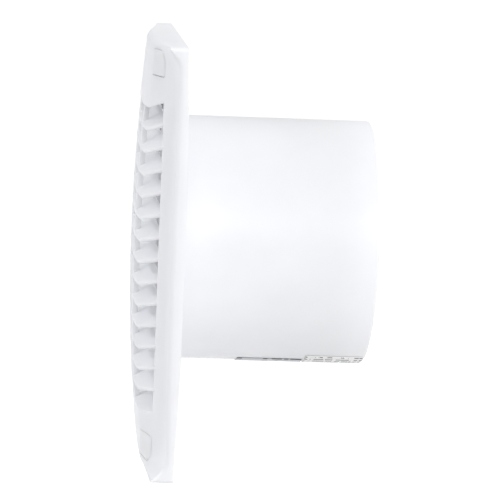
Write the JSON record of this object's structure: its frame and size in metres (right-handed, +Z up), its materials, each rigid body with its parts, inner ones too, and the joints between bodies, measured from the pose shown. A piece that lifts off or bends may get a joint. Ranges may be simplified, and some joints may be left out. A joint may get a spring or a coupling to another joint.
{
  "type": "bathroom extractor fan",
  "caption": "Square white extractor fan with a domed louvred front cover, round duct spigot, motor, impeller and butterfly back-draught shutter.",
  "frame": {"origin": "on the duct axis, in the plane of the wall that the back plate rests on", "axes": "+Y along the duct axis away from the room, into the wall; -Y faces the room; +Z up"},
  "size_m": [0.164, 0.095, 0.164],
  "materials": {
    "white_abs": "satin white ABS",
    "grey_nylon": "light grey nylon",
    "black_rubber": "matt black rubber",
    "motor_steel": "zinc-plated pressed steel",
    "core_steel": "stacked laminations",
    "screw_steel": "bright zinc-plated",
    "copper_wire": "enamelled copper",
    "brass": "turned brass",
    "label_paper": "matt white label",
    "label_foil": "satin silver foil",
    "brown_insulation": "brown PVC",
    "blue_insulation": "blue PVC"
  },
  "bodies": {
    "casing": {"front_grille": "white_abs", "casing": "white_abs", "maker_sticker": "label_foil", "rating_label": "label_paper", "motor_bracket": "white_abs", "motor_shell_front": "motor_steel", "motor_shell_rear": "motor_steel", "stator_core": "core_steel", "bearing_front": "brass", "bearing_rear": "brass", "shutter_pin": "screw_steel", "motor_lead_brown": "brown_insulation", "motor_lead_blue": "blue_insulation", "terminal_block": "grey_nylon", "terminal_cover": "white_abs", "cable_clamp": "grey_nylon", "cable_grommet": "black_rubber", "screw_cap_1": "white_abs", "grille_screw_1": "screw_steel", "rubber_foot_1": "black_rubber", "winding_1": "copper_wire", "terminal_screw_1": "brass", "screw_cap_2": "white_abs", "grille_screw_2": "screw_steel", "rubber_foot_2": "black_rubber", "winding_2": "copper_wire", "terminal_screw_2": "brass", "screw_cap_3": "white_abs", "grille_screw_3": "screw_steel", "rubber_foot_3": "black_rubber", "winding_3": "copper_wire", "terminal_screw_3": "brass", "screw_cap_4": "white_abs", "grille_screw_4": "screw_steel", "rubber_foot_4": "black_rubber", "winding_4": "copper_wire", "terminal_screw_4": "brass", "clamp_screw_1": "screw_steel", "clamp_screw_2": "screw_steel"},
    "rotor": {"motor_shaft": "screw_steel", "rotor_core": "core_steel", "impeller": "white_abs", "impeller_nut": "grey_nylon"},
    "flap_right": {"shutter_flap_right": "white_abs"},
    "flap_left": {"shutter_flap_left": "white_abs"}
  },
  "joints": [
    {"name": "impeller_spin", "type": "hinge", "parent": "casing", "child": "rotor", "pos_m": [0, 0, 0], "axis": [0, 1, 0], "continuous": true},
    {"name": "right_flap_hinge", "type": "hinge", "parent": "casing", "child": "flap_right", "pos_m": [0, 0.069, 0], "axis": [0, 0, 1], "range_deg": [0, 75]},
    {"name": "left_flap_hinge", "type": "hinge", "parent": "casing", "child": "flap_left", "pos_m": [0, 0.069, 0], "axis": [0, 0, -1], "range_deg": [0, 75]}
  ]
}
